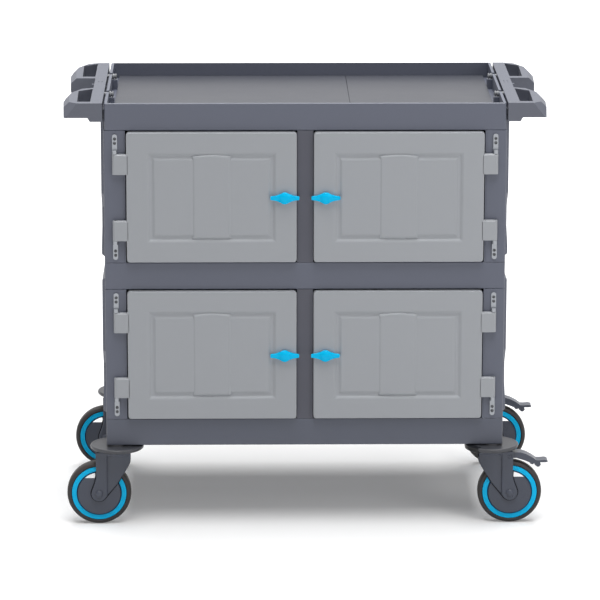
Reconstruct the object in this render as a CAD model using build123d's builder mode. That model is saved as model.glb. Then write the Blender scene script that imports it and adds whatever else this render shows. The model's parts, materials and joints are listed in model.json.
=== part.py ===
from build123d import *
import os
from math import cos, radians, sin

# A two-tier medical cart on four swivel casters. Millimetres, +Z up, the origin on the
# floor under the middle of the body. The doors face -Y, and X runs across the cart.

# Heights, stacked from the floor: caster, base deck, bay, middle deck, bay, tray
caster_height = 193.6
deck_height = 63.4
bay_height = 309.2

# Body
body_depth = 542.8
deck_width = 923.0
tray_inset = 1.9
corner_round = 4.0
edge_bevel = 1.6
skirt_wall = 5.0
deck_plate = 6.0
deck_rib_wall = 3.0
deck_rib_depth = 30.0
deck_rib_pitch = 148.0
deck_rib_count = 5

# Side frames: a front and a rear post joined by a thin web
post_width = 46.0
post_depth = 45.0
post_wall = 6.0
side_web = 5.0

# Cladding plates on the outside of the side frames
cladding_stand = 7.6
cladding_taper = 34.0
cladding_end_inset = 30.4
cladding_waist_cut = 40.0
cladding_foot = 7.0
cladding_lap = 20.0
waist_top_share = 0.50
waist_bottom_share = 0.23

# Centre wall and back panels
centre_post_width = 28.0
centre_post_depth = 15.0
divider_wall = 8.0
back_recess = 8.0
back_plate = 5.0
back_field_rise = 3.0
back_field_margin = 34.0
back_field_taper = 40.0

# Tray
front_rim = 4.5
side_rim = 7.0
tray_depth = 30.0
panel_thickness = 6.0
tray_floor = 5.0
side_channel = 12.3
panel_seam_x = 107.0
panel_gap = 0.5
saddle_length = 24.0
saddle_drop = 13.2
rim_notch_length = 22.0

# Handles
handle_seam = 4.3
spine_width = 26.7
handle_height = 42.9
ear_thickness = 34.0
front_ear_bar = 30.4
rear_ear_bar = 27.4
front_ear_end = -69.7
rear_ear_start = 57.6
ear_bow = 4.0
ear_bow_share = 0.45
ear_turn_cut = 0.5
ear_turn_share = 0.72
ear_tail_cut = 17.0
ear_tail_share = 0.90
ear_chamfer = 13.3
corner_facet_inset = 13.0
corner_facet_drop = 21.5
corner_facet_normal = (0.62, -0.60, 0.50)
gusset_foot = 1.8
gusset_run = 5.3
grip_margin = 1.0
grip_width = 30.0
grip_front_bar = 22.4
grip_rear_bar = 14.3
grip_rear_skew = 29.0
grip_bow = 2.0
handle_wall = 4.0
handle_floor = 6.0
handle_foot_setback = 22.0
handle_foot_height = 25.0
spine_slot = (30.0, 2.0, 1.0)
spine_slot_spacing = 8.0
spine_slot_y = 5.0
notch_tab = (5.5, 10.0, 10.0)
notch_tab_y = -9.0
notch_tab_drop = 2.0

# Handle bolts, which run outwards through the rim into the handles
bolt_spacing = 236.0
bolt_drop = 6.0
bolt_radius = 4.5
bolt_head_radius = 6.5
bolt_head_length = 11.0
bolt_rim_length = 4.8
bolt_neck_radius = 5.0
bolt_neck_length = 1.2
bolt_reach = 20.0
bolt_clearance = 0.1

# Doors
door_gap = 2.8
door_side_gap = 5.5
door_thickness = 30.0
door_corner = 7.0
door_edge_bevel = 2.0
door_frame = 49.0
groove_width = 11.0
groove_depth = 6.0
groove_taper = 40.0
field_rise = 4.4
band_rise = 6.6
band_share = 0.34
band_overrun = 6.0
band_arch = 5.0
door_pocket_depth = 18.0
door_pocket_margin = 42.0
door_rib = 12.0

# Hinges
hinge_inset = 25.5
knuckle_radius = 6.0
hinge_clearance = 0.6
lug_inset = 50.5
lug_height = 47.5
lug_chamfer = 3.0
lug_root = 4.0
lug_play = 0.3
strap_width = 11.4
strap_length = 45.7
strap_thickness = 4.0
strap_knuckle = 9.0
pin_radius = 3.5
pin_length = 26.0
running_fit = 0.05
screw_spacing = 10.0
screw_end_inset = 11.0
screw_radius = 2.0
screw_length = 14.0
screw_head_radius = 3.5
screw_head_height = 1.8

# Latches
latch_x = 47.0
knob_half_length = 33.4
knob_tip = 9.0
knob_root = 18.0
knob_hub_radius = 14.0
knob_height = 13.0
knob_undercut = 3.0
knob_taper = 12.0
latch_shaft_radius = 7.0
latch_square = 9.0
latch_play = 0.3
cam_thickness = 4.0
cam_reach = 39.0
cam_width = 18.0
cam_tongue = 14.0

# Casters. A drop is a depth below the base deck, and outlines are pairs of X and drop
swivel_side_inset = 23.5
swivel_end_inset = 24.4
trail = 42.5
wheel_headroom = 43.6
tyre_width = 31.5
tread_width = 22.0
tyre_thickness = 11.5
rim_width = 30.0
rim_thickness = 12.0
hub_radius = 16.0
hub_width = 24.0
spoke_count = 5
spoke_width = 13.0
spoke_thickness = 14.0
first_spoke_angle = 24.0
spoke_root = 1.5
bush_radius = 11.0
axle_radius = 6.0
axle_head_width = 16.0
axle_head_length = 5.0
guard_clearance = 1.3
guard_thickness = 2.5
front_guard_chord = 37.0
rear_guard_chord = 22.0
guard_play = 0.25
fork_arm = 6.5
fork_boss_radius = 18.0
fork_leading_edge = [
    (-31.5, 43.6),
    (-25.5, 55.1),
    (-20.0, 64.1),
    (-8.0, 81.6),
    (0.0, 94.6),
]
fork_trailing_edge = [(52.0, 91.6), (48.8, 78.6), (49.5, 53.6)]
fork_boss_lead = 39.0
fork_boss_trail = 20.0
wheel_clearance = 4.0
swivel_gap = 0.3
head_radius = 32.0
head_top_drop = 17.6
head_shoulder_drop = 51.6
head_waist_drop = 75.6
fork_head_gap = 1.0
nut_pocket_radius = 16.0
nut_pocket_drop = 35.6
nut_pocket_depth = 18.0
swivel_plate_radius = 30.0
kingpin_radius = 10.0
kingpin_flange_radius = 15.0
kingpin_flange = 5.0
stem_radius = 6.0
stem_clearance = 0.2
stem_depth = 45.0
stem_end_clearance = 1.0
stem_head_radius = 9.0
stem_head_height = 5.0
corner_boss_radius = 16.0
bumper_boss_rise = 3.0
bumper_radius = 62.5
bumper_thickness = 12.6
bumper_boss_radius = 24.0
bumper_bevel = 2.0

# Brakes on the two right-hand casters
brake_pivot_x = 41.5
brake_pivot_drop = 30.6
brake_pin_radius = 4.0
brake_hub_radius = 7.5
brake_play = 0.4
pedal_width = 30.0
pedal_side = [
    (40.0, 23.3),
    (46.0, 22.3),
    (67.5, 23.2),
    (79.4, 26.9),
    (93.6, 34.3),
    (104.3, 42.1),
    (112.5, 42.4),
    (124.2, 41.3),
    (129.6, 42.8),
    (131.2, 44.8),
    (129.6, 46.7),
    (124.0, 47.4),
    (113.0, 47.4),
    (115.0, 52.6),
    (111.8, 57.5),
    (107.0, 58.2),
    (101.5, 54.1),
    (99.0, 50.1),
    (96.0, 52.1),
    (91.0, 51.1),
    (88.5, 47.6),
    (80.0, 43.8),
    (70.0, 40.4),
    (58.0, 36.6),
    (44.0, 37.1),
]
brake_housing_width = 34.0
brake_housing_side = [
    (-32.3, 17.6),
    (-52.0, 17.6),
    (-52.0, 19.3),
    (-37.6, 32.6),
    (-32.3, 38.6),
]

# Levels and faces that follow from the sizes above
base_top = caster_height + deck_height
lower_floor = base_top
middle_bottom = lower_floor + bay_height
upper_floor = middle_bottom + deck_height
tray_bottom = upper_floor + bay_height
rim_top = tray_bottom + deck_height
body_front = body_depth / 2
body_side = deck_width / 2
tray_width = deck_width - 2 * tray_inset
tray_side = tray_width / 2
swivel_x = body_side - swivel_side_inset
swivel_y = body_front - swivel_end_inset
post_inner_x = body_side - post_width
post_x = body_side - post_width / 2
post_y = body_front - post_depth / 2
hinge_x = body_side - hinge_inset
hinge_y = body_front + hinge_clearance + knuckle_radius
door_front = hinge_y + knuckle_radius
door_back = door_front - door_thickness
door_width = post_inner_x - centre_post_width / 2 - 2 * door_side_gap
door_x = (post_inner_x + centre_post_width / 2) / 2
door_height = bay_height - 2 * door_gap
back_panel_front = body_front - back_recess - back_plate
wheel_radius = (caster_height - wheel_headroom) / 2
rim_radius = wheel_radius - tyre_thickness
rim_inner_radius = rim_radius - rim_thickness
guard_radius = rim_inner_radius - guard_clearance
head_top = caster_height - head_top_drop
head_shoulder = caster_height - head_shoulder_drop
head_waist = caster_height - head_waist_drop
nut_pocket_top = caster_height - nut_pocket_drop
brake_pivot_z = caster_height - brake_pivot_drop
bumper_bottom = caster_height - bumper_boss_rise - bumper_thickness
guard_face = tyre_width / 2 + guard_play
slot_half = guard_face + guard_thickness
fork_half = slot_half + fork_arm
bolt_z = rim_top - bolt_drop
spine_inner = tray_side + handle_seam
spine_outer = spine_inner + spine_width
grip_outer = spine_outer + grip_margin + grip_width
front_ear_reach = grip_outer + front_ear_bar
rear_ear_reach = grip_outer + rear_ear_bar

os.makedirs("parts", exist_ok=True)


def save(piece, name):
    piece.part.label = name
    export_step(piece.part, f"parts/{name}.step")


def save_mirrored(piece, name):
    with BuildPart() as twin:
        mirror(piece.part, about=Plane.YZ)
    save(twin, name)


def moved(piece, place):
    with BuildPart() as copy:
        with Locations(place):
            add(piece.part)
    return copy


def hollow_moulding(width, bottom, plate_underside):
    # An open-bottomed box with a skirt all round, its outer edges broken, and ribs under
    # its plate that stop at the skirt's lower edge where the box is shallow
    rib_depth = min(deck_rib_depth, plate_underside - bottom)
    with BuildPart() as moulding:
        with BuildSketch(Plane.XY.offset(bottom)):
            RectangleRounded(width, body_depth, corner_round)
        extrude(amount=deck_height)
        rims = moulding.faces().filter_by(Axis.Z).edges()
        chamfer(rims, length=edge_bevel)
        with BuildSketch(Plane.XY.offset(bottom)):
            Rectangle(width - 2 * skirt_wall, body_depth - 2 * skirt_wall)
        extrude(amount=plate_underside - bottom, mode=Mode.SUBTRACT)
        with BuildSketch(Plane.XY.offset(plate_underside)):
            Rectangle(width - 2 * skirt_wall, deck_rib_wall)
            with GridLocations(deck_rib_pitch, 0, deck_rib_count, 1):
                Rectangle(deck_rib_wall, body_depth - 2 * skirt_wall)
        extrude(amount=-rib_depth)
    return moulding


def caster_places():
    return [(x, y) for x in (-swivel_x, swivel_x) for y in (-swivel_y, swivel_y)]


# Middle deck: the floor of the upper bay and the roof of the lower one
middle_deck = hollow_moulding(deck_width, middle_bottom, upper_floor - deck_plate)
save(middle_deck, "mid_deck")

# Base deck: the same moulding with a bored boss in each corner for a caster's stem
deck_blank = hollow_moulding(deck_width, caster_height, base_top - deck_plate)
with BuildPart() as base_deck:
    add(deck_blank.part)
    with BuildSketch(Plane.XY.offset(caster_height)):
        with Locations(*caster_places()):
            Circle(corner_boss_radius)
    extrude(amount=deck_height - deck_plate)
    with BuildSketch(Plane.XY.offset(caster_height)):
        with Locations(*caster_places()):
            Circle(stem_radius + stem_clearance)
    extrude(amount=stem_depth + stem_end_clearance, mode=Mode.SUBTRACT)
save(base_deck, "base_deck")

# Top tray: a well inside a raised rim, with saddles in its side channels for the bolts
well_floor = rim_top - tray_depth - panel_thickness
well_width = tray_width - 2 * side_rim
well_depth = body_depth - 2 * front_rim
panel_end_x = well_width / 2 - side_channel
tray_blank = hollow_moulding(tray_width, tray_bottom, well_floor - tray_floor)
saddle_x = well_width / 2 - side_channel / 2
with BuildPart() as top_tray:
    add(tray_blank.part)
    with BuildSketch(Plane.XY.offset(well_floor)):
        Rectangle(well_width, well_depth)
    extrude(amount=deck_height, mode=Mode.SUBTRACT)
    with BuildSketch(Plane.XY.offset(well_floor)):
        with GridLocations(2 * saddle_x, bolt_spacing, 2, 2):
            Rectangle(side_channel, saddle_length)
    extrude(amount=rim_top - saddle_drop - well_floor)
    with BuildSketch(Plane.XY.offset(bolt_z)):
        with GridLocations(tray_width - side_rim, bolt_spacing, 2, 2):
            Rectangle(2 * side_rim, rim_notch_length)
    extrude(amount=bolt_drop, mode=Mode.SUBTRACT)
    with Locations((0, -bolt_spacing / 2, bolt_z), (0, bolt_spacing / 2, bolt_z)):
        Cylinder(bolt_radius + bolt_clearance, tray_width, rotation=(0, 90, 0), mode=Mode.SUBTRACT)
save(top_tray, "top_tray")

# Two lift-in panels make the work surface, with their seam right of the middle
with BuildPart() as deck_panels:
    with BuildSketch(Plane.XY.offset(well_floor)):
        left_width = panel_end_x + panel_seam_x - panel_gap / 2
        right_width = panel_end_x - panel_seam_x - panel_gap / 2
        with Locations((-panel_end_x + left_width / 2, 0)):
            Rectangle(left_width, well_depth - 2 * panel_gap)
        with Locations((panel_end_x - right_width / 2, 0)):
            Rectangle(right_width, well_depth - 2 * panel_gap)
    extrude(amount=panel_thickness)
save(deck_panels, "deck_panels")


def lug_bottoms(floor):
    # Heights of the undersides of a door's two lugs
    door_bottom = floor + door_gap
    return [door_bottom + lug_inset, door_bottom + door_height - lug_inset - lug_height]


def screw_heights(floor):
    # Two screws near the far end of each strap, the upper strap above its lug
    lower_end = lug_bottoms(floor)[0] - strap_length + screw_end_inset
    upper_end = lug_bottoms(floor)[1] + lug_height + strap_length - screw_end_inset
    return [lower_end, lower_end + screw_spacing, upper_end, upper_end - screw_spacing]


def side_frame(floor):
    # Right-hand frame: two hollow posts and the web that joins their outer walls
    with BuildPart() as frame:
        with BuildSketch(Plane.XY.offset(floor)):
            with Locations((post_x, -post_y), (post_x, post_y)):
                Rectangle(post_width, post_depth)
            with Locations((body_side - side_web / 2, 0)):
                Rectangle(side_web, body_depth - 2 * post_depth)
            with Locations((post_x, -post_y), (post_x, post_y)):
                Rectangle(post_width - 2 * post_wall, post_depth - 2 * post_wall, mode=Mode.SUBTRACT)
        extrude(amount=bay_height)
        outer_face = frame.faces().sort_by(Axis.X)[-1]
        fillet(outer_face.edges().filter_by(Axis.Z), radius=corner_round)
        with BuildSketch(Plane.XZ.offset(body_front)):
            with Locations(*[(hinge_x, z) for z in screw_heights(floor)]):
                Circle(screw_radius + running_fit)
        extrude(amount=-post_wall, mode=Mode.SUBTRACT)
    return frame


for tier, floor in (("upper", upper_floor), ("lower", lower_floor)):
    frame = side_frame(floor)
    save(frame, f"side_frame_{tier}_right")
    save_mirrored(frame, f"side_frame_{tier}_left")

# Cladding: one waisted plate on each side of each bay, lapping over the deck above it
with BuildPart() as side_panels:
    for floor in (lower_floor, upper_floor):
        foot = floor + cladding_foot
        waist_low = floor + waist_bottom_share * bay_height
        waist_high = floor + waist_top_share * bay_height
        head = floor + bay_height + cladding_lap
        wide = body_front - cladding_end_inset
        slim = wide - cladding_waist_cut
        for plane in (Plane.YZ.offset(body_side), Plane.YZ.offset(-body_side)):
            outward = 1 if plane.origin.X > 0 else -1
            with BuildSketch(plane):
                with BuildLine():
                    Polyline(
                        (0, foot),
                        (wide, foot),
                        (wide, waist_low - wide + slim),
                        (slim, waist_low),
                        (slim, waist_high - wide + slim),
                        (wide, waist_high),
                        (wide, head),
                        (0, head),
                    )
                    mirror(about=Plane.YZ)
                make_face()
            extrude(amount=outward * cladding_stand, taper=cladding_taper)
save(side_panels, "side_panels")


def centre_wall(floor):
    # The flat post between the doors and the divider behind it
    divider_front = -body_front + centre_post_depth
    divider_length = back_panel_front - divider_front
    with BuildPart() as wall:
        with BuildSketch(Plane.XY.offset(floor)):
            with Locations((0, -body_front + centre_post_depth / 2)):
                Rectangle(centre_post_width, centre_post_depth)
            with Locations((0, divider_front + divider_length / 2)):
                Rectangle(divider_wall, divider_length)
        extrude(amount=bay_height)
    return wall


save(centre_wall(upper_floor), "centre_wall_upper")
save(centre_wall(lower_floor), "centre_wall_lower")

# Back panels: recessed plates between the rear posts, each with two raised fields
with BuildPart() as back_panels:
    for floor in (lower_floor, upper_floor):
        middle = floor + bay_height / 2
        plate_back = Plane.XZ.offset(-back_panel_front - back_plate)
        with BuildSketch(plate_back):
            with Locations((0, middle)):
                Rectangle(2 * post_inner_x, bay_height)
        extrude(amount=back_plate)
        with BuildSketch(plate_back):
            with Locations((0, middle)):
                with GridLocations(post_inner_x, 0, 2, 1):
                    Rectangle(post_inner_x - back_field_margin, bay_height - 2 * back_field_margin)
        extrude(amount=-back_field_rise, taper=back_field_taper)
save(back_panels, "back_panels")


def ear_outline(start, end, reach):
    # Plan of one handle ear, bowed outwards and cut back diagonally at its rear
    length = end - start
    return [
        (spine_inner + handle_wall, start),
        (reach, start),
        (reach + ear_bow, start + ear_bow_share * length),
        (reach - ear_turn_cut, start + ear_turn_share * length),
        (reach - ear_tail_cut, start + ear_tail_share * length),
        (spine_outer, end),
        (spine_inner + handle_wall, end),
    ]


def grip_outline(start, end):
    # Plan of the hand hole in an ear, its rear edge slanted like the ear's own
    inner = spine_outer + grip_margin
    return [
        (inner, start + grip_front_bar),
        (grip_outer, start + grip_front_bar),
        (grip_outer + grip_bow, end - grip_rear_bar - grip_rear_skew),
        (inner, end - grip_rear_bar),
    ]


ears = (
    (-body_front, front_ear_end, front_ear_reach),
    (rear_ear_start, body_front, rear_ear_reach),
)
handle_bottom = rim_top - handle_height
ear_bottom = rim_top - ear_thickness
gusset_x = spine_outer + gusset_foot
slot_length, slot_width, slot_depth = spine_slot
tab_reach, tab_length, tab_height = notch_tab
with BuildPart() as handle_right:
    with BuildSketch(Plane.XY.offset(handle_bottom)):
        with Locations(((spine_inner + spine_outer) / 2, 0)):
            Rectangle(spine_width, body_depth)
    extrude(amount=handle_height)
    # The foot that closes the seam below, set back from both ends
    with BuildSketch(Plane.XY.offset(handle_bottom)):
        with Locations((spine_inner - handle_seam / 2, 0)):
            Rectangle(handle_seam, body_depth - 2 * handle_foot_setback)
    extrude(amount=handle_foot_height)
    for start, end, reach in ears:
        with BuildSketch(Plane.XY.offset(ear_bottom)):
            with BuildLine():
                Polyline(*ear_outline(start, end, reach), close=True)
            make_face()
        extrude(amount=ear_thickness)
        with BuildSketch(Plane.XZ.offset(-start)):
            with BuildLine():
                Polyline(
                    (spine_outer, handle_bottom),
                    (gusset_x, handle_bottom),
                    (gusset_x + gusset_run, ear_bottom),
                    (spine_outer, ear_bottom),
                    close=True,
                )
            make_face()
        extrude(amount=-grip_front_bar)
    # Chamfer along the outer top edges of both ears
    top_edges = handle_right.faces().sort_by(Axis.Z)[-1].edges()
    outer_edges = top_edges.filter_by(lambda edge: edge.center().X > rear_ear_reach - ear_tail_cut)
    chamfer(outer_edges, length=ear_chamfer)
    # Facet on the front outer corner
    facet = Plane(
        origin=(front_ear_reach - corner_facet_inset, -body_front, rim_top - corner_facet_drop),
        z_dir=corner_facet_normal,
    )
    split(bisect_by=facet, keep=Keep.BOTTOM)
    for start, end, reach in ears:
        with BuildSketch(Plane.XY.offset(handle_bottom)):
            with BuildLine():
                Polyline(*grip_outline(start, end), close=True)
            make_face()
        extrude(amount=handle_height, mode=Mode.SUBTRACT)
    # A small tab in the notch between the ears, and two shallow slots along the spine's top
    with BuildSketch(Plane.XY.offset(rim_top - notch_tab_drop)):
        with Locations((spine_outer + tab_reach / 2, notch_tab_y)):
            Rectangle(tab_reach, tab_length)
    extrude(amount=-tab_height)
    with BuildSketch(Plane.XY.offset(rim_top)):
        with Locations(((spine_inner + spine_outer) / 2, spine_slot_y)):
            with GridLocations(spine_slot_spacing, 0, 2, 1):
                Rectangle(slot_width, slot_length)
    extrude(amount=-slot_depth, mode=Mode.SUBTRACT)
    # Pockets under the spine, with ribs where the bolts come in
    with BuildSketch(Plane.XY.offset(handle_bottom)):
        pocket_width = spine_width - 2 * handle_wall
        pocket_x = (spine_inner + spine_outer) / 2
        inner_pocket = bolt_spacing - saddle_length
        outer_pocket = body_front - bolt_spacing / 2 - saddle_length / 2 - 2 * handle_wall
        outer_pocket_y = body_front - 2 * handle_wall - outer_pocket / 2
        with Locations((pocket_x, 0)):
            Rectangle(pocket_width, inner_pocket)
        with Locations((pocket_x, -outer_pocket_y), (pocket_x, outer_pocket_y)):
            Rectangle(pocket_width, outer_pocket)
    extrude(amount=handle_height - handle_floor, mode=Mode.SUBTRACT)
    with Locations((spine_inner, -bolt_spacing / 2, bolt_z), (spine_inner, bolt_spacing / 2, bolt_z)):
        Cylinder(
            bolt_radius + bolt_clearance,
            bolt_reach + bolt_clearance,
            rotation=(0, 90, 0),
            align=(Align.CENTER, Align.CENTER, Align.MIN),
            mode=Mode.SUBTRACT,
        )
save(handle_right, "handle_right")
save_mirrored(handle_right, "handle_left")

# Handle bolts: a grooved round head inside the rim, the shank out into the spine
well_side = well_width / 2
bolt_inner = well_side - bolt_head_length
neck_start = bolt_inner + bolt_rim_length
neck_end = neck_start + bolt_neck_length
with BuildPart() as handle_bolts:
    for side in (-1, 1):
        for y in (-bolt_spacing / 2, bolt_spacing / 2):
            with BuildSketch(Plane.XZ.offset(-y)):
                with BuildLine():
                    Polyline(
                        (side * bolt_inner, bolt_z),
                        (side * bolt_inner, bolt_z + bolt_head_radius),
                        (side * neck_start, bolt_z + bolt_head_radius),
                        (side * neck_start, bolt_z + bolt_neck_radius),
                        (side * neck_end, bolt_z + bolt_neck_radius),
                        (side * neck_end, bolt_z + bolt_head_radius),
                        (side * well_side, bolt_z + bolt_head_radius),
                        (side * well_side, bolt_z + bolt_radius),
                        (side * (spine_inner + bolt_reach), bolt_z + bolt_radius),
                        (side * (spine_inner + bolt_reach), bolt_z),
                        close=True,
                    )
                make_face()
            revolve(axis=Axis((0, y, bolt_z), (1, 0, 0)))
save(handle_bolts, "handle_bolts")


def door(floor):
    # Right-hand door, hinged on its outer edge
    middle = floor + bay_height / 2
    face = Plane.XZ.offset(door_front)
    field_width = door_width - 2 * door_frame - 2 * groove_width
    field_height = door_height - 2 * door_frame - 2 * groove_width
    band = band_share * field_width / 2
    band_half = field_height / 2 + band_overrun
    with BuildPart() as leaf:
        with BuildSketch(face):
            with Locations((door_x, middle)):
                RectangleRounded(door_width, door_height, door_corner)
        extrude(amount=-door_thickness)
        chamfer(leaf.faces().sort_by(Axis.Y)[0].edges(), length=door_edge_bevel)
        # The groove inside the frame, then the raised field with its middle band
        with BuildSketch(face):
            with Locations((door_x, middle)):
                Rectangle(door_width - 2 * door_frame, door_height - 2 * door_frame)
        extrude(amount=-groove_depth, taper=groove_taper, mode=Mode.SUBTRACT)
        with BuildSketch(face.offset(-groove_depth)):
            with Locations((door_x, middle)):
                Rectangle(field_width, field_height)
        extrude(amount=field_rise, taper=groove_taper)
        with BuildSketch(face.offset(-groove_depth)):
            with BuildLine():
                Polyline(
                    (door_x - band, middle + band_half),
                    (door_x - band, middle - band_half),
                    (door_x + band, middle - band_half),
                    (door_x + band, middle + band_half),
                )
                ThreePointArc(
                    (door_x - band, middle + band_half),
                    (door_x, middle + band_half + band_arch),
                    (door_x + band, middle + band_half),
                )
            make_face()
        extrude(amount=band_rise, taper=groove_taper)
        # Shallow pockets in the back, between the frame and a cross of ribs
        with BuildSketch(face.offset(-door_thickness)):
            with Locations((door_x, middle)):
                pocket_w = (door_width - 2 * door_pocket_margin - door_rib) / 2
                pocket_h = (door_height - 2 * door_pocket_margin - door_rib) / 2
                with GridLocations(pocket_w + door_rib, pocket_h + door_rib, 2, 2):
                    Rectangle(pocket_w, pocket_h)
        extrude(amount=door_pocket_depth, mode=Mode.SUBTRACT)
        # Hinge lugs, level with the door's face and rounded about the hinge axis
        door_edge = door_x + door_width / 2
        for bottom in lug_bottoms(floor):
            with BuildSketch(Plane.XY.offset(bottom)):
                with Locations((hinge_x, -hinge_y)):
                    Circle(knuckle_radius)
                with Locations(((door_edge - lug_root + hinge_x) / 2, -hinge_y)):
                    Rectangle(hinge_x - door_edge + lug_root, 2 * knuckle_radius)
            extrude(amount=lug_height)
        for bottom in lug_bottoms(floor):
            with BuildSketch(Plane.YZ.offset(door_edge)):
                with BuildLine():
                    Polyline(
                        (-door_front, bottom + lug_height),
                        (-door_front, bottom + lug_height - lug_chamfer),
                        (-door_front + lug_chamfer, bottom + lug_height),
                        close=True,
                    )
                make_face()
            extrude(amount=hinge_x + knuckle_radius - door_edge, mode=Mode.SUBTRACT)
        for bottom in lug_bottoms(floor):
            with BuildSketch(Plane.XY.offset(bottom)):
                with Locations((hinge_x, -hinge_y)):
                    Circle(pin_radius + running_fit)
            extrude(amount=lug_height, mode=Mode.SUBTRACT)
        # Bore for the latch's shaft
        with BuildSketch(face):
            with Locations((latch_x, middle)):
                Circle(latch_shaft_radius + running_fit)
        extrude(amount=-door_thickness, mode=Mode.SUBTRACT)
    return leaf


def latch_plane(floor, y):
    # Upright plane square to the latch's axis, its origin on that axis
    middle = floor + bay_height / 2
    return Plane(origin=(latch_x, -y, middle), x_dir=(1, 0, 0), z_dir=(0, -1, 0))


def latch_knob(floor):
    # Wing knob with a round hub, and the shaft that runs through the door to the cam
    hub_back = latch_plane(floor, door_front + latch_play)
    shaft_end = hub_back.offset(-door_thickness - 2 * latch_play)
    with BuildPart() as knob:
        with BuildSketch(hub_back):
            Circle(knob_hub_radius)
        extrude(amount=knob_height)
        with BuildSketch(hub_back.offset(knob_undercut)):
            with BuildLine():
                Polyline(
                    (-knob_half_length, -knob_tip / 2),
                    (-knob_half_length, knob_tip / 2),
                    (0, knob_root / 2),
                    (knob_half_length, knob_tip / 2),
                    (knob_half_length, -knob_tip / 2),
                    (0, -knob_root / 2),
                    close=True,
                )
            make_face()
        extrude(amount=knob_height - knob_undercut, taper=knob_taper)
        with BuildSketch(hub_back):
            Circle(latch_shaft_radius)
        extrude(amount=-door_thickness - 2 * latch_play)
        with BuildSketch(shaft_end):
            Rectangle(latch_square, latch_square)
        extrude(amount=-cam_thickness)
    return knob


def latch_cam(floor):
    # Tongue on the shaft's square end, hanging down beside the centre post when open
    with BuildPart() as cam:
        with BuildSketch(latch_plane(floor, door_back - latch_play)):
            Circle(cam_width / 2)
            with Locations((0, -cam_reach / 2)):
                Rectangle(cam_tongue, cam_reach)
            Rectangle(latch_square, latch_square, mode=Mode.SUBTRACT)
        extrude(amount=-cam_thickness)
    return cam


for tier, floor in (("upper", upper_floor), ("lower", lower_floor)):
    leaf = door(floor)
    save(leaf, f"door_{tier}_right")
    save_mirrored(leaf, f"door_{tier}_left")
    knob = latch_knob(floor)
    save(knob, f"latch_knob_{tier}_right")
    save_mirrored(knob, f"latch_knob_{tier}_left")
    cam = latch_cam(floor)
    save(cam, f"latch_cam_{tier}_right")
    save_mirrored(cam, f"latch_cam_{tier}_left")


def strap(lug_end, upward):
    # One hinge plate: a round-ended strap, the knuckle at its root and the pin in the lug
    away = 1 if upward else -1
    far = lug_end + away * (strap_length - strap_width / 2)
    root = lug_end + away * lug_play
    screws = [lug_end + away * (strap_length - screw_end_inset - n * screw_spacing) for n in (0, 1)]
    with BuildPart() as plate:
        with BuildSketch(Plane.XZ.offset(body_front)):
            with Locations((hinge_x, (root + far) / 2)):
                Rectangle(strap_width, abs(far - root))
            with Locations((hinge_x, far)):
                Circle(strap_width / 2)
            with Locations(*[(hinge_x, z) for z in screws]):
                Circle(screw_radius + running_fit, mode=Mode.SUBTRACT)
        extrude(amount=strap_thickness)
        with BuildSketch(Plane.XY.offset(root)):
            with Locations((hinge_x, -hinge_y)):
                Circle(strap_width / 2)
            with Locations((hinge_x, -(body_front + hinge_y) / 2)):
                Rectangle(strap_width, hinge_y - body_front)
        extrude(amount=away * strap_knuckle)
        with BuildSketch(Plane.XY.offset(root)):
            with Locations((hinge_x, -hinge_y)):
                Circle(pin_radius)
        extrude(amount=-away * pin_length)
    return plate


strap_places = []
for floor in (lower_floor, upper_floor):
    lower_lug, upper_lug = lug_bottoms(floor)
    strap_places.append((lower_lug, False))
    strap_places.append((upper_lug + lug_height, True))
straps = [strap(lug_end, upward) for lug_end, upward in strap_places]
with BuildPart() as hinge_plates:
    for plate in straps:
        add(plate.part)
        mirror(plate.part, about=Plane.YZ)
save(hinge_plates, "hinge_plates")

# Pan-head screws that hold the straps to the front posts
head_foot = body_front + strap_thickness
with BuildPart() as hinge_screws:
    for floor in (lower_floor, upper_floor):
        places = [(x, z) for x in (-hinge_x, hinge_x) for z in screw_heights(floor)]
        with BuildSketch(Plane.XZ.offset(head_foot)):
            with Locations(*places):
                Circle(screw_head_radius)
        extrude(amount=screw_head_height)
        with BuildSketch(Plane.XZ.offset(head_foot)):
            with Locations(*places):
                Circle(screw_radius)
        extrude(amount=-screw_length)
save(hinge_screws, "hinge_screws")

# Bumper discs above the casters, each with a low boss that meets the base deck
with BuildPart() as bumper_discs:
    with BuildSketch(Plane.XY.offset(bumper_bottom)):
        with Locations(*caster_places()):
            Circle(bumper_radius)
    extrude(amount=bumper_thickness)
    chamfer(bumper_discs.faces().filter_by(Axis.Z).edges(), length=bumper_bevel)
    with BuildSketch(Plane.XY.offset(bumper_bottom + bumper_thickness)):
        with Locations(*caster_places()):
            Circle(bumper_boss_radius)
    extrude(amount=bumper_boss_rise)
    with BuildSketch(Plane.XY.offset(bumper_bottom)):
        with Locations(*caster_places()):
            Circle(stem_radius + stem_clearance)
    extrude(amount=caster_height - bumper_bottom, mode=Mode.SUBTRACT)
save(bumper_discs, "bumper_discs")

# Swivel plates: the race that the fork runs under, and the kingpin with its flange
flange_top = nut_pocket_top - swivel_gap
race_bottom = head_top + swivel_gap
flange_bottom = flange_top - kingpin_flange
with BuildPart() as swivel_plate:
    with BuildSketch(Plane.XZ):
        with BuildLine():
            Polyline(
                (stem_radius + stem_clearance, flange_bottom),
                (kingpin_flange_radius, flange_bottom),
                (kingpin_flange_radius, flange_top),
                (kingpin_radius, flange_top),
                (kingpin_radius, race_bottom),
                (swivel_plate_radius, race_bottom),
                (swivel_plate_radius, bumper_bottom),
                (stem_radius + stem_clearance, bumper_bottom),
                close=True,
            )
        make_face()
    revolve(axis=Axis.Z)
with BuildPart() as swivel_plates:
    with Locations(*caster_places()):
        add(swivel_plate.part)
save(swivel_plates, "swivel_plates")

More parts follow.
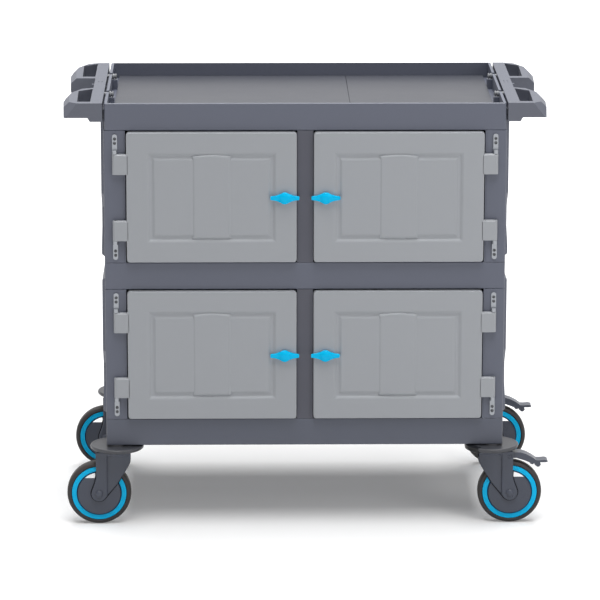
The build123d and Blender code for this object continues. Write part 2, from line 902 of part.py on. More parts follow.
# Stem bolts, up through the kingpins and discs into the base deck
with BuildPart() as caster_bolts:
    with BuildSketch(Plane.XY.offset(flange_bottom)):
        with Locations(*caster_places()):
            RegularPolygon(stem_head_radius, 6)
    extrude(amount=-stem_head_height)
    with BuildSketch(Plane.XY.offset(flange_bottom)):
        with Locations(*caster_places()):
            Circle(stem_radius)
    extrude(amount=caster_height + stem_depth - flange_bottom)
save(caster_bolts, "caster_bolts")

# The rolling parts are modelled once, about a swivel axis at X = Y = 0, trailing to +X
wheel_middle = Plane(origin=(trail, 0, wheel_radius), x_dir=(1, 0, 0), z_dir=(0, 0, 1))
wheel_side = Plane(origin=(trail, 0, wheel_radius), x_dir=(1, 0, 0), z_dir=(0, -1, 0))
wheel_axis = Axis((trail, 0, wheel_radius), (0, 1, 0))


def boss_edge(angle, side):
    # Point where a slanted edge of the fork's arm leaves the round boss at the axle
    return (
        trail + side * fork_boss_radius * cos(radians(angle)),
        wheel_radius + side * fork_boss_radius * sin(radians(angle)),
    )


def below_deck(outline):
    return [(x, caster_height - drop) for x, drop in outline]


fork_outline = [
    (-head_radius, head_top),
    *below_deck(fork_leading_edge),
    boss_edge(fork_boss_lead, -1),
    boss_edge(fork_boss_trail, 1),
    *below_deck(fork_trailing_edge),
    (fork_trailing_edge[-1][0], head_top),
]

# The fork's round head, which tapers into the arms below and follows their slanted nose
with BuildPart() as fork_head:
    with BuildSketch(Plane.XZ):
        with BuildLine():
            Polyline(
                (0, head_waist),
                (fork_half, head_waist),
                (head_radius, head_shoulder),
                (head_radius, head_top),
                (0, head_top),
                close=True,
            )
        make_face()
    revolve(axis=Axis.Z)
    with BuildSketch(Plane.XZ):
        with BuildLine():
            Polyline(*fork_outline, close=True)
        make_face()
    extrude(amount=head_radius, both=True, mode=Mode.INTERSECT)

with BuildPart() as fork:
    add(fork_head.part)
    with BuildSketch(Plane.XZ):
        with BuildLine():
            Polyline(*fork_outline, close=True)
        make_face()
        with Locations((trail, wheel_radius)):
            Circle(fork_boss_radius)
    extrude(amount=fork_half, both=True)
    with BuildSketch(wheel_side):
        Circle(wheel_radius + wheel_clearance)
    extrude(amount=slot_half, both=True, mode=Mode.SUBTRACT)
    # The gap between the arms behind the head, where a brake pedal goes
    with BuildSketch(Plane.XY.offset(head_top)):
        with Locations((head_radius + fork_head_gap, 0)):
            Rectangle(trail, 2 * slot_half, align=(Align.MIN, Align.CENTER))
    extrude(amount=wheel_radius - head_top, mode=Mode.SUBTRACT)
    with BuildSketch(Plane.XY.offset(head_top)):
        Circle(kingpin_radius + running_fit)
    extrude(amount=nut_pocket_top - head_top, mode=Mode.SUBTRACT)
    with BuildSketch(Plane.XY.offset(nut_pocket_top)):
        Circle(nut_pocket_radius)
    extrude(amount=-nut_pocket_depth, mode=Mode.SUBTRACT)
    with BuildSketch(wheel_side):
        Circle(axle_radius + running_fit)
    extrude(amount=fork_half, both=True, mode=Mode.SUBTRACT)

with BuildPart() as brake_fork:
    add(fork.part)
    with BuildSketch(Plane.XZ):
        with Locations((brake_pivot_x, brake_pivot_z)):
            Circle(brake_pin_radius + running_fit)
    extrude(amount=fork_half, both=True, mode=Mode.SUBTRACT)

with BuildPart() as axle:
    with BuildSketch(wheel_side):
        Circle(axle_radius)
    extrude(amount=fork_half, both=True)
    for end in (wheel_side.offset(fork_half), wheel_side.offset(-fork_half - axle_head_length)):
        with BuildSketch(end):
            RegularPolygon(axle_head_width / 2, 6, major_radius=False)
        extrude(amount=axle_head_length)

# Thread guards inside the fork's arms, the front one taller than the one behind it
with BuildPart() as thread_guards:
    for side, chord in ((1, front_guard_chord), (-1, rear_guard_chord)):
        with BuildSketch(wheel_side.offset(side * guard_face)):
            Circle(guard_radius)
            with Locations((0, chord)):
                Rectangle(
                    2 * guard_radius,
                    guard_radius,
                    align=(Align.CENTER, Align.MIN),
                    mode=Mode.SUBTRACT,
                )
            Circle(axle_radius + running_fit, mode=Mode.SUBTRACT)
        extrude(amount=side * guard_thickness)

with BuildPart() as tyre:
    with BuildSketch(wheel_middle):
        with BuildLine():
            Polyline(
                (rim_radius, -tyre_width / 2),
                (rim_radius, tyre_width / 2),
                (wheel_radius, tread_width / 2),
                (wheel_radius, -tread_width / 2),
                close=True,
            )
        make_face()
    revolve(axis=wheel_axis)

with BuildPart() as wheel_centre:
    with BuildSketch(wheel_middle):
        with Locations(((rim_radius + rim_inner_radius) / 2, 0)):
            Rectangle(rim_radius - rim_inner_radius, rim_width)
        with Locations(((hub_radius + bush_radius) / 2, 0)):
            Rectangle(hub_radius - bush_radius, hub_width)
    revolve(axis=wheel_axis)
    with BuildSketch(wheel_side):
        for spoke in range(spoke_count):
            angle = first_spoke_angle + spoke * 360 / spoke_count
            with Locations(Location((0, 0, 0), (0, 0, angle))):
                with Locations(((hub_radius + rim_inner_radius) / 2, 0)):
                    Rectangle(rim_inner_radius - hub_radius + 2 * spoke_root, spoke_width)
    extrude(amount=spoke_thickness / 2, both=True)

with BuildPart() as wheel_bearing:
    with BuildSketch(wheel_side):
        Circle(bush_radius)
        Circle(axle_radius + running_fit, mode=Mode.SUBTRACT)
    extrude(amount=guard_face - swivel_gap, both=True)

# Brake pedal: a lever on a pin between the fork's arms, its tread beyond the wheel
with BuildPart() as brake_pedal:
    with BuildSketch(Plane.XZ):
        with BuildLine():
            Polyline(*below_deck(pedal_side), close=True)
        make_face()
    extrude(amount=pedal_width / 2, both=True)
    with BuildSketch(Plane.XZ):
        with Locations((brake_pivot_x, brake_pivot_z)):
            Circle(brake_hub_radius)
    extrude(amount=slot_half - brake_play, both=True)
    with BuildSketch(Plane.XZ):
        with Locations((brake_pivot_x, brake_pivot_z)):
            Circle(brake_pin_radius)
    extrude(amount=fork_half, both=True)

# Housing of the brake's latch, on the fork's leading face under the disc
with BuildPart() as brake_housing:
    with BuildSketch(Plane.XZ):
        with BuildLine():
            Polyline(*below_deck(brake_housing_side), close=True)
        make_face()
    extrude(amount=brake_housing_width / 2, both=True)

rolling_pieces = (
    (axle, "axle"),
    (thread_guards, "thread_guards"),
    (tyre, "tyre"),
    (wheel_centre, "wheel_centre"),
    (wheel_bearing, "wheel_bearing"),
)
for end, y in (("front", -swivel_y), ("rear", swivel_y)):
    place = Location((swivel_x, y, 0))
    for piece, name in rolling_pieces:
        placed = moved(piece, place)
        save(placed, f"{name}_{end}_right")
        save_mirrored(placed, f"{name}_{end}_left")
    save_mirrored(moved(fork, place), f"caster_fork_{end}_left")
    save(moved(brake_fork, place), f"caster_fork_{end}_right")
    save(moved(brake_pedal, place), f"brake_pedal_{end}_right")
    save(moved(brake_housing, place), f"brake_housing_{end}_right")
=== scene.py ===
import bpy, bmesh, json, math
from mathutils import Matrix, Vector


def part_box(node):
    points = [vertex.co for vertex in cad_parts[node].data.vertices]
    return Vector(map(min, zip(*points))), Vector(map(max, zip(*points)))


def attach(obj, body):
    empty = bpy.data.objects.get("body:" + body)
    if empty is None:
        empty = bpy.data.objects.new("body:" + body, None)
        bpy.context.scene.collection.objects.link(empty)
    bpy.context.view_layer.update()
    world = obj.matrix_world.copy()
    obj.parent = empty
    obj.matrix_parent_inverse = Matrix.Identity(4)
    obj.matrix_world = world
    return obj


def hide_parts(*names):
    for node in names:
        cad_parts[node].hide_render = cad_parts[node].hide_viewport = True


# Medical cart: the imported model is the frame, and this script gives it its looks.
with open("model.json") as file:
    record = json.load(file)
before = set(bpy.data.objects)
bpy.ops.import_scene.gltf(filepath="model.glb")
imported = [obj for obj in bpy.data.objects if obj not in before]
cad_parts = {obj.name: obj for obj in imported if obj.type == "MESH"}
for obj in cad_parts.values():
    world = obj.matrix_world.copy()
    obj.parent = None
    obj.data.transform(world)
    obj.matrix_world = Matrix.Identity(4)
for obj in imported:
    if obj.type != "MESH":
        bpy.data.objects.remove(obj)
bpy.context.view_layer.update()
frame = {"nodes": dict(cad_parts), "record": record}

ends = ("front", "rear")
sides = ("left", "right")
tiers = ("upper", "lower")
slotOf = {s["node"]: s["material_slot"] for s in frame["record"]["subparts"]}
bodyOf = {n: body for body, held in frame["record"]["behaviour"]["bodies"].items() for n in held}

# Points nearer to each other than this, in metres, are one point
weldGap = 0.00002
# In degrees: faces that bend by less are one face, and edges that bend by more are rolled over
flatBend = 0.5
sharpBend = 25
foldBend = 30
# Pieces are shaded smooth up to this angle, in degrees, unless they say otherwise
smoothAngle = 35
# A direction runs along an axis when its share of that axis is over this
facing = 0.9
# A place this near to a plane, in metres, lies on it
onPlane = 0.001
yAxis = (0, 1, 0)
zAxis = (0, 0, 1)
# Lays an upright cylinder down along Y
laidDown = (math.radians(90), 0, 0)


class Wire:
    # One output of a node, which can be used in plain sums
    def __init__(self, finish, socket):
        self.finish = finish
        self.socket = socket

    def __add__(self, other):
        return self.finish.maths("ADD", self, other)

    def __radd__(self, other):
        return self.finish.maths("ADD", other, self)

    def __sub__(self, other):
        return self.finish.maths("SUBTRACT", self, other)

    def __rsub__(self, other):
        return self.finish.maths("SUBTRACT", other, self)

    def __mul__(self, other):
        return self.finish.maths("MULTIPLY", self, other)

    def __rmul__(self, other):
        return self.finish.maths("MULTIPLY", other, self)


class Finish:
    # A node tree with one main shader and whatever nodes feed it
    def __init__(self, tree, shaderName):
        self.tree = tree
        self.shader = tree.nodes[shaderName]

    def connect(self, socket, value):
        # A wire is linked to the socket, and a plain value is set on it
        if isinstance(value, Wire):
            self.tree.links.new(value.socket, socket)
        else:
            socket.default_value = value

    def node(self, kind, inputs=None, out=0, **settings):
        # The settings come first, because they can change the sockets
        made = self.tree.nodes.new("ShaderNode" + kind)
        for key, value in settings.items():
            setattr(made, key, value)
        for key, value in (inputs or {}).items():
            self.connect(made.inputs[key], value)
        return Wire(self, made.outputs[out])

    def maths(self, operation, a, b):
        return self.node("Math", {0: a, 1: b}, operation=operation)

    def feed(self, **inputs):
        for key, value in inputs.items():
            self.connect(self.shader.inputs[key.replace("_", " ")], value)

    def place(self):
        return self.node("TexCoord", out="Object")

    def noise(self, scale, detail=2.0, rough=0.5):
        return self.node("TexNoise", {"Vector": self.place(), "Scale": scale, "Detail": detail,
                                      "Roughness": rough})

    def blend(self, factor, first, second):
        # Sockets 6 and 7 of a Mix node take its colours, and output 2 gives the mixed one
        return self.node("Mix", {0: factor, 6: first, 7: second}, out=2, data_type="RGBA")

    def drifting(self, factor, colour, drift):
        # The colour, by turns a little darker and a little lighter
        return self.blend(factor, shade(colour, 1 - drift), shade(colour, 1 + drift))

    def showsBackdrop(self):
        # 1 for a ray that shows the backdrop, straight, in a gloss or through something clear
        rays = ("Camera", "Glossy", "Transmission")
        straight, gloss, clear = (self.node("LightPath", out=f"Is {ray} Ray") for ray in rays)
        return straight + gloss + clear


def newFinish(name):
    material = bpy.data.materials.new(name)
    material.use_nodes = True
    return material, Finish(material.node_tree, "Principled BSDF")


def tone(red, green, blue):
    # A colour as it looks on screen, 0 to 255, on the shader's own scale
    return (*[((v / 255 + 0.055) / 1.055) ** 2.4 for v in (red, green, blue)], 1)


def shade(colour, factor):
    return (*[v * factor for v in colour[:3]], 1)


def look(colour, **changes):
    # What a moulded plastic is like, where changes doesn't say otherwise
    values = dict(colour=colour, drift=0.06, driftScale=5.0, mottleScale=60.0, grainScale=1400.0,
                  grainDepth=0.00005, rippleScale=22.0, rippleDepth=0.0003, rough=0.42,
                  roughDrift=0.12, ior=1.5, gloss=0.5)
    values.update(changes)
    return values


def mouldedPlastic(name, values):
    # Moulded plastic: slow drift of tone, a fine grain that catches the light, soft gloss
    material, finish = newFinish(name)
    drift = finish.noise(values["driftScale"], detail=3.0)
    mottle = finish.noise(values["mottleScale"])
    grain = finish.noise(values["grainScale"], rough=0.6)
    ripple = finish.noise(values["rippleScale"], detail=1.0)
    mix = drift * 0.5 + mottle * 0.25 + grain * 0.25
    colour = finish.drifting(mix, values["colour"], values["drift"])
    height = grain * values["grainDepth"] + ripple * values["rippleDepth"]
    bump = finish.node("Bump", {"Strength": 1.0, "Distance": 1.0, "Height": height})
    roughDrift = values["roughDrift"]
    rough = values["rough"] + (grain - 0.5) * roughDrift + (drift - 0.5) * roughDrift
    finish.feed(Base_Color=colour, Roughness=rough, Normal=bump)
    finish.feed(IOR=values["ior"], Specular_IOR_Level=values["gloss"])
    return material


def brightSteel(name):
    # Steel with fine level brush marks
    steel = dict(colour=tone(146, 149, 154), drift=0.05, rough=0.45, roughDrift=0.2,
                 brushScale=(40, 40, 900), brushDepth=0.0001, brushStrength=0.5)
    material, finish = newFinish(name)
    stretched = finish.node("Mapping", {"Vector": finish.place(), "Scale": steel["brushScale"]})
    brushed = finish.node("TexNoise", {"Vector": stretched, "Scale": 1.0, "Detail": 3.0})
    colour = finish.drifting(brushed, steel["colour"], steel["drift"])
    rough = steel["rough"] + (brushed - 0.5) * steel["roughDrift"]
    bump = finish.node("Bump", {"Strength": steel["brushStrength"],
                                "Distance": steel["brushDepth"], "Height": brushed})
    finish.feed(Base_Color=colour, Roughness=rough, Normal=bump, Metallic=1.0)
    return material


print("finishes")
slotFinishes = {
    "body_plastic": mouldedPlastic("bodySlate", look(tone(91, 95, 109))),
    "work_surface": mouldedPlastic("deckSlate", look(tone(56, 58, 66))),
    "handle_plastic": mouldedPlastic("handleSlate", look(
        tone(92, 95, 106), grainScale=700.0, grainDepth=0.00025, drift=0.12, rough=0.5)),
    "door_plastic": mouldedPlastic("doorGrey", look(tone(157, 160, 165), rough=0.45, drift=0.03)),
    "accent_plastic": mouldedPlastic("accentBlue", look(
        tone(0, 189, 243), rough=0.28, gloss=0.16, grainDepth=0.00001)),
    "caster_plastic": mouldedPlastic("casterSlate", look(
        tone(63, 68, 82), rough=0.3, driftScale=14.0)),
    "bush_plastic": mouldedPlastic("bushWhite", look(tone(205, 204, 198), rough=0.35)),
    "tyre_rubber": mouldedPlastic("tyreRubber", look(
        tone(38, 34, 34), rough=0.6, grainScale=2200.0, driftScale=18.0)),
    "bright_steel": brightSteel("plainSteel"),
}

# Shades that single pieces have inside their slot
pieceFinishes = {
    # A darker copy of the body's slate for the centre walls: painted shade, for their faces set
    # back between the doors
    "centre_wall_upper": mouldedPlastic("postShadedSlate", look(tone(74, 75, 86))),
    # A darker copy of the body's slate for the base deck: painted shade, for the light falling
    # off near the floor
    "base_deck": mouldedPlastic("baseShadedSlate", look(tone(84, 88, 101))),
    "bumper_discs": mouldedPlastic("discSlate", look(tone(63, 64, 69), rough=0.4)),
    "hinge_screws": mouldedPlastic("screwGrey", look(tone(92, 94, 98), rough=0.4)),
    "handle_bolts": mouldedPlastic("boltGrey", look(tone(128, 130, 134), rough=0.5)),
    # Black for the brake housings: partly their own dark plastic, partly painted shade under the
    # discs
    "brake_housing_front_right": mouldedPlastic("housingBlackAndShade", look(
        tone(16, 17, 21), rough=0.35, gloss=0.35)),
    "latch_knob_upper_left": mouldedPlastic("knobBlue", look(
        tone(0, 191, 243), rough=0.2, gloss=0.1, grainDepth=0.00001)),
    # Black for the plates behind the fork arms: painted shadow of the gap round each arm
    "armShadePlate": mouldedPlastic("shadePlateBlack", look(tone(26, 28, 34), rough=0.7, gloss=0.2)),
    # Dark blue for the lips inside the wheel rings: painted shade of the gap between ring and
    # guard
    "ringShade": mouldedPlastic("ringShadeBlue", look(tone(8, 66, 104), rough=0.5, gloss=0.2)),
}
for tier in tiers:
    pieceFinishes[f"centre_wall_{tier}"] = pieceFinishes["centre_wall_upper"]
    for side in sides:
        pieceFinishes[f"latch_knob_{tier}_{side}"] = pieceFinishes["latch_knob_upper_left"]
pieceFinishes["brake_housing_rear_right"] = pieceFinishes["brake_housing_front_right"]


def dress(piece, finish):
    piece.data.materials.clear()
    piece.data.materials.append(finish)


for nodeName, node in frame["nodes"].items():
    dress(node, slotFinishes[slotOf[nodeName]])


def deselectAll():
    for item in bpy.context.selected_objects:
        item.select_set(False)


def activate(piece):
    deselectAll()
    piece.select_set(True)
    bpy.context.view_layer.objects.active = piece


def applyAll(piece):
    activate(piece)
    for modifier in list(piece.modifiers):
        bpy.ops.object.modifier_apply(modifier=modifier.name)


def settle(piece):
    # Puts a new piece's place into its mesh, with the object back at the origin
    activate(piece)
    bpy.ops.object.transform_apply(location=True, rotation=True, scale=True)
    return piece


def enlist(piece, nodeName, slot=None):
    # The piece stands for a CAD node, on the same body and in the same slot
    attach(piece, bodyOf[nodeName])
    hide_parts(nodeName)
    slot = slot or slotOf[nodeName]
    dress(piece, pieceFinishes.get(nodeName, slotFinishes[slot]))


def finished(piece, nodeName, slot=None, angle=smoothAngle):
    # Shaded smooth, with even light on its flat faces, and put in the node's place
    activate(piece)
    bpy.ops.object.shade_smooth_by_angle(angle=math.radians(angle))
    even = piece.modifiers.new("even", "WEIGHTED_NORMAL")
    even.keep_sharp = True
    applyAll(piece)
    enlist(piece, nodeName, slot)
    return piece


def block(name, low, high):
    deselectAll()
    low, high = Vector(low), Vector(high)
    bpy.ops.mesh.primitive_cube_add(size=1, location=(low + high) / 2)
    piece = bpy.context.object
    piece.name = name
    piece.scale = high - low
    return settle(piece)


def cylinder(radius, length, centre, sideCount, turn=(0, 0, 0)):
    deselectAll()
    bpy.ops.mesh.primitive_cylinder_add(vertices=sideCount, radius=radius, depth=length,
                                        location=centre, rotation=turn)
    return bpy.context.object


def carved(piece, cutter):
    # Takes the cutter's shape out of the piece, and then deletes the cutter
    cut = piece.modifiers.new("carve", "BOOLEAN")
    cut.operation = "DIFFERENCE"
    cut.object = cutter
    applyAll(piece)
    bpy.data.objects.remove(cutter)


def pick(piece, wanted):
    # In edit mode, selects the faces whose middle and normal are wanted
    bpy.ops.mesh.select_mode(type="FACE")
    bpy.ops.mesh.select_all(action="DESELECT")
    work = bmesh.from_edit_mesh(piece.data)
    for face in work.faces:
        if wanted(face.calc_center_median(), face.normal):
            face.select_set(True)
    bmesh.update_edit_mesh(piece.data)


def pickEdges(piece, wanted):
    # In edit mode, selects the edges whose middle and direction are wanted
    bpy.ops.mesh.select_mode(type="EDGE")
    bpy.ops.mesh.select_all(action="DESELECT")
    work = bmesh.from_edit_mesh(piece.data)
    for edge in work.edges:
        start, end = (vert.co for vert in edge.verts)
        if wanted((start + end) / 2, (end - start).normalized()):
            edge.select_set(True)
    bmesh.update_edit_mesh(piece.data)


def pushed(offset):
    # In edit mode, draws the selected faces out by the offset
    bpy.ops.mesh.extrude_region_move(TRANSFORM_OT_translate={"value": offset})


def drawn(name, spots):
    # A line from spot to spot, left in edit mode with all of it selected
    deselectAll()
    bpy.ops.mesh.primitive_plane_add(size=0.001, location=spots[0])
    piece = bpy.context.object
    piece.name = name
    bpy.ops.object.mode_set(mode="EDIT")
    bpy.ops.mesh.select_mode(type="VERT")
    bpy.ops.mesh.select_all(action="SELECT")
    bpy.ops.mesh.merge(type="CENTER")
    for spot, following in zip(spots, spots[1:]):
        bpy.ops.mesh.extrude_vertices_move(TRANSFORM_OT_translate={"value": following - spot})
    bpy.ops.mesh.select_all(action="SELECT")
    return piece


def turned(name, outline, centre, axis, steps, start=0, sweep=360):
    # A turned piece: its outline, as pairs of radius and place along the axis, is spun round it
    middle = Vector(centre)
    axis = Vector(axis)
    out = Vector((1, 0, 0)) if axis.z else Vector((0, 0, 1))
    out = Matrix.Rotation(math.radians(start), 3, axis) @ out
    piece = drawn(name, [middle + out * radius + axis * along for radius, along in outline])
    bpy.ops.mesh.spin(steps=steps, angle=math.radians(sweep), center=middle, axis=axis)
    bpy.ops.mesh.select_all(action="SELECT")
    bpy.ops.mesh.remove_doubles(threshold=weldGap)
    bpy.ops.mesh.normals_make_consistent(inside=False)
    bpy.ops.object.mode_set(mode="OBJECT")
    return settle(piece)


def copyOfNode(nodeName):
    # A CAD node's mesh, welded, with its flat faces made whole and then cut into even triangles
    piece = bpy.data.objects.new("soft_" + nodeName, frame["nodes"][nodeName].data.copy())
    bpy.context.scene.collection.objects.link(piece)
    activate(piece)
    bpy.ops.object.mode_set(mode="EDIT")
    bpy.ops.mesh.select_all(action="SELECT")
    bpy.ops.mesh.remove_doubles(threshold=weldGap)
    bpy.ops.mesh.dissolve_limited(angle_limit=math.radians(flatBend))
    bpy.ops.mesh.select_all(action="SELECT")
    bpy.ops.mesh.quads_convert_to_tris(quad_method="BEAUTY", ngon_method="BEAUTY")
    bpy.ops.object.mode_set(mode="OBJECT")
    return piece


def copied(piece, name, shift=(0, 0, 0), mirrored=False):
    # A copy with its own mesh, moved, and turned left for right where it is mirrored
    twin = bpy.data.objects.new(name, piece.data.copy())
    bpy.context.scene.collection.objects.link(twin)
    twin.data.transform(Matrix.Translation(shift))
    if mirrored:
        twin.data.transform(Matrix.Scale(-1, 4, (1, 0, 0)))
        twin.data.flip_normals()
    return twin


def joined(pieces, name):
    activate(pieces[0])
    for piece in pieces[1:]:
        piece.select_set(True)
    bpy.ops.object.join()
    pieces[0].name = name
    return pieces[0]


def rollEdges(piece, radiusAt, segments, sharpness=sharpBend):
    # Rolls each sharp edge over by the radius that radiusAt gives for its middle
    work = bmesh.new()
    work.from_mesh(piece.data)
    weights = work.edges.layers.float.new("bevel_weight_edge")
    radii = {}
    for edge in work.edges:
        if len(edge.link_faces) == 2 and edge.calc_face_angle(0) > math.radians(sharpness):
            radii[edge] = radiusAt((edge.verts[0].co + edge.verts[1].co) / 2)
    widest = max(radii.values())
    for edge, radius in radii.items():
        edge[weights] = radius / widest
    work.to_mesh(piece.data)
    work.free()
    bevel = piece.modifiers.new("roll", "BEVEL")
    bevel.width = widest
    bevel.segments = segments
    bevel.limit_method = "WEIGHT"
    bevel.use_clamp_overlap = False
    bevel.harden_normals = False
    applyAll(piece)


def softened(nodeName, radius, segments=3):
    # A copy of a CAD node with its sharp edges rolled over, as a mould leaves them
    piece = copyOfNode(nodeName)
    bevel = piece.modifiers.new("roll", "BEVEL")
    bevel.width = radius
    bevel.segments = segments
    bevel.limit_method = "ANGLE"
    bevel.angle_limit = math.radians(sharpBend)
    applyAll(piece)
    return finished(piece, nodeName)


def solidBoxes(nodeName):
    # Lowest and highest corner of each separate solid of a CAD node
    work = bmesh.new()
    work.from_mesh(frame["nodes"][nodeName].data)
    bmesh.ops.remove_doubles(work, verts=work.verts, dist=weldGap)
    left = set(work.verts)
    boxes = []
    while left:
        reached = [left.pop()]
        group = []
        while reached:
            vert = reached.pop()
            group.append(vert.co.copy())
            for edge in vert.link_edges:
                other = edge.other_vert(vert)
                if other in left:
                    left.remove(other)
                    reached.append(other)
        boxes.append([Vector([limit(co[i] for co in group) for i in range(3)])
                      for limit in (min, max)])
    work.free()
    return sorted(boxes, key=lambda box: tuple(box[0]))


def middleOf(tier):
    # How high the middle of a tier's doors lies
    low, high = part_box(f"door_{tier}_right")
    return (low[2] + high[2]) / 2


print("body mouldings")
softRadii = {
    "top_tray": 0.0012,
    "mid_deck": 0.0015,
    "base_deck": 0.0015,
    "side_panels": 0.0015,
    "back_panels": 0.0010,
    "deck_panels": 0.0008,
}
for nodeName, radius in softRadii.items():
    softened(nodeName, radius)

# Strips that bring the posts' faces nearer to the doors' edges
stopLook = dict(front=-0.2714, back=-0.2665, bayHalf=0.1546, centre=(0.0135, 0.0183),
                outer=(0.4126, 0.4160))


def doorStop(reach, across, middle):
    start, end = sorted(across * x for x in reach)
    return block("stop", (start, stopLook["front"], middle - stopLook["bayHalf"]),
                 (end, stopLook["back"], middle + stopLook["bayHalf"]))


for tier in tiers:
    middle = middleOf(tier)
    wall = copyOfNode(f"centre_wall_{tier}")
    stops = [doorStop(stopLook["centre"], across, middle) for across in (-1, 1)]
    finished(joined([wall, *stops], f"wall_{tier}"), f"centre_wall_{tier}")
    for side, across in zip(sides, (-1, 1)):
        post = copyOfNode(f"side_frame_{tier}_{side}")
        stop = doorStop(stopLook["outer"], across, middle)
        finished(joined([post, stop], f"posts_{tier}_{side}"), f"side_frame_{tier}_{side}")

handleLook = dict(roll=0.0012, segments=2)
for side in sides:
    softened(f"handle_{side}", handleLook["roll"], handleLook["segments"])

print("doors")
doorLook = dict(x=(0.0195, 0.410), front=-0.284, back=-0.254, halfHeight=0.1518,
                corner=0.007, cornerFrom=(0.19, -0.26, 0.15), frame=0.049,
                steps=((0.005035, -0.0045), (0.005965, 0), (0.00369, 0.0033)),
                edge=0.0020, backEdge=0.0008, rolls=(0.0036, 0.0020, 0.0020, 0.0030),
                rollDepth=0.008, rollFrom=0.02, segments=4, quarterFrom=0.03,
                pocket=(0.14725, 0.10380), pocketShift=(0.079625, 0.0579), pocketRim=0.004,
                pocketDepth=0.018, latchX=0.047, bore=0.00705, boreLength=0.05)
bandLook = dict(half=0.046, bottom=-0.2795, plate=0.002, halfHeight=0.0978, rise=0.0050,
                slope=0.00554, arch=0.005, cuts=11, roll=0.0022, segments=4)
lugLook = dict(x=(0.406, 0.442), front=-0.284, back=-0.272, height=0.0475, place=0.07755,
               eye=0.00595, eyeFrom=0.44, chamfer=0.003, chamferFrom=-0.283, roll=0.0007,
               segments=2, hinge=(0.436, -0.278), bore=0.00355, boreLength=0.06)
doorX = sum(doorLook["x"]) / 2
drillSides = 40


def doorLeaf(middle):
    front, back = doorLook["front"], doorLook["back"]
    left, right = doorLook["x"]
    halfWidth, halfHeight = (right - left) / 2, doorLook["halfHeight"]
    leaf = block("leaf", (left, front, middle - halfHeight), (right, back, middle + halfHeight))
    bpy.ops.object.mode_set(mode="EDIT")
    # The pockets in the back, one in each quarter
    pick(leaf, lambda c, n: n.y > facing)
    bpy.ops.mesh.subdivide(number_cuts=1)
    pocketX, pocketZ = doorLook["pocketShift"]
    pocketWidth, pocketHeight = doorLook["pocket"]
    for xWay in (-1, 1):
        for zWay in (-1, 1):
            quarterX = doorX + xWay * halfWidth / 2
            quarterZ = middle + zWay * halfHeight / 2
            place = Vector((doorX + xWay * pocketX, back, middle + zWay * pocketZ))
            pick(leaf, lambda c, n: n.y > facing and c.y > back - onPlane
                 and (c.x - doorX) * xWay > doorLook["quarterFrom"]
                 and (c.z - middle) * zWay > doorLook["quarterFrom"])
            bpy.ops.mesh.inset(thickness=doorLook["pocketRim"])
            work = bmesh.from_edit_mesh(leaf.data)
            for vert in {v for face in work.faces if face.select for v in face.verts}:
                vert.co.x = place.x + math.copysign(pocketWidth / 2, vert.co.x - quarterX)
                vert.co.z = place.z + math.copysign(pocketHeight / 2, vert.co.z - quarterZ)
            bmesh.update_edit_mesh(leaf.data)
            pushed((0, -doorLook["pocketDepth"], 0))
    # The groove and the raised field in the front
    pick(leaf, lambda c, n: n.y < -facing)
    bpy.ops.mesh.inset(thickness=doorLook["frame"])
    ringPlaces = [doorLook["frame"]]
    for thickness, depth in doorLook["steps"]:
        bpy.ops.mesh.inset(thickness=thickness, depth=depth)
        ringPlaces.append(ringPlaces[-1] + thickness)
    # The round corners
    cornerX, cornerY, cornerZ = doorLook["cornerFrom"]
    pickEdges(leaf, lambda c, d: abs(d.y) > facing and c.y < cornerY
              and abs(c.x - doorX) > cornerX and abs(c.z - middle) > cornerZ)
    bpy.ops.mesh.bevel(offset=doorLook["corner"], segments=5)
    bpy.ops.object.mode_set(mode="OBJECT")

    def radiusAt(c):
        # One roll for the outer edge, one for the back, and one for each ring of the front
        inward = min(halfWidth - abs(c.x - doorX), halfHeight - abs(c.z - middle))
        if c.y > front + doorLook["rollDepth"] or inward < doorLook["rollFrom"]:
            return doorLook["edge"] if c.y < front + onPlane else doorLook["backEdge"]
        nearest = min(range(len(ringPlaces)), key=lambda i: abs(inward - ringPlaces[i]))
        return doorLook["rolls"][nearest]

    rollEdges(leaf, radiusAt, doorLook["segments"])
    carved(leaf, cylinder(doorLook["bore"], doorLook["boreLength"],
                          (doorLook["latchX"], (front + back) / 2, middle), drillSides, laidDown))
    return leaf


def doorBand(middle):
    half, halfHeight, bottom = bandLook["half"], bandLook["halfHeight"], bandLook["bottom"]
    band = block("band", (doorX - half, bottom, middle - halfHeight),
                 (doorX + half, bottom + bandLook["plate"], middle + halfHeight))
    bpy.ops.object.mode_set(mode="EDIT")
    # The arch of its upper end
    pickEdges(band, lambda c, d: abs(d.x) > facing)
    bpy.ops.mesh.subdivide(number_cuts=bandLook["cuts"])
    work = bmesh.from_edit_mesh(band.data)
    for vert in work.verts:
        if vert.co.z > middle:
            vert.co.z += bandLook["arch"] * (1 - ((vert.co.x - doorX) / half) ** 2)
    bmesh.update_edit_mesh(band.data)
    # Its sloped sides
    pick(band, lambda c, n: n.y < -facing)
    bpy.ops.mesh.inset(thickness=bandLook["slope"], depth=bandLook["rise"])
    bpy.ops.object.mode_set(mode="OBJECT")
    rollEdges(band, lambda c: bandLook["roll"], bandLook["segments"], foldBend)
    return band


def doorLug(middle):
    half = lugLook["height"] / 2
    left, right = lugLook["x"]
    lug = block("lug", (left, lugLook["front"], middle - half),
                (right, lugLook["back"], middle + half))
    bpy.ops.object.mode_set(mode="EDIT")
    # The round eye, then the slope along its upper front edge
    pickEdges(lug, lambda c, d: abs(d.z) > facing and c.x > lugLook["eyeFrom"])
    bpy.ops.mesh.bevel(offset=lugLook["eye"], segments=8)
    pickEdges(lug, lambda c, d: abs(d.x) > facing and c.z > middle
              and c.y < lugLook["chamferFrom"])
    bpy.ops.mesh.bevel(offset=lugLook["chamfer"], segments=1)
    bpy.ops.object.mode_set(mode="OBJECT")
    rollEdges(lug, lambda c: lugLook["roll"], lugLook["segments"], foldBend)
    carved(lug, cylinder(lugLook["bore"], lugLook["boreLength"], (*lugLook["hinge"], middle),
                         drillSides))
    return lug


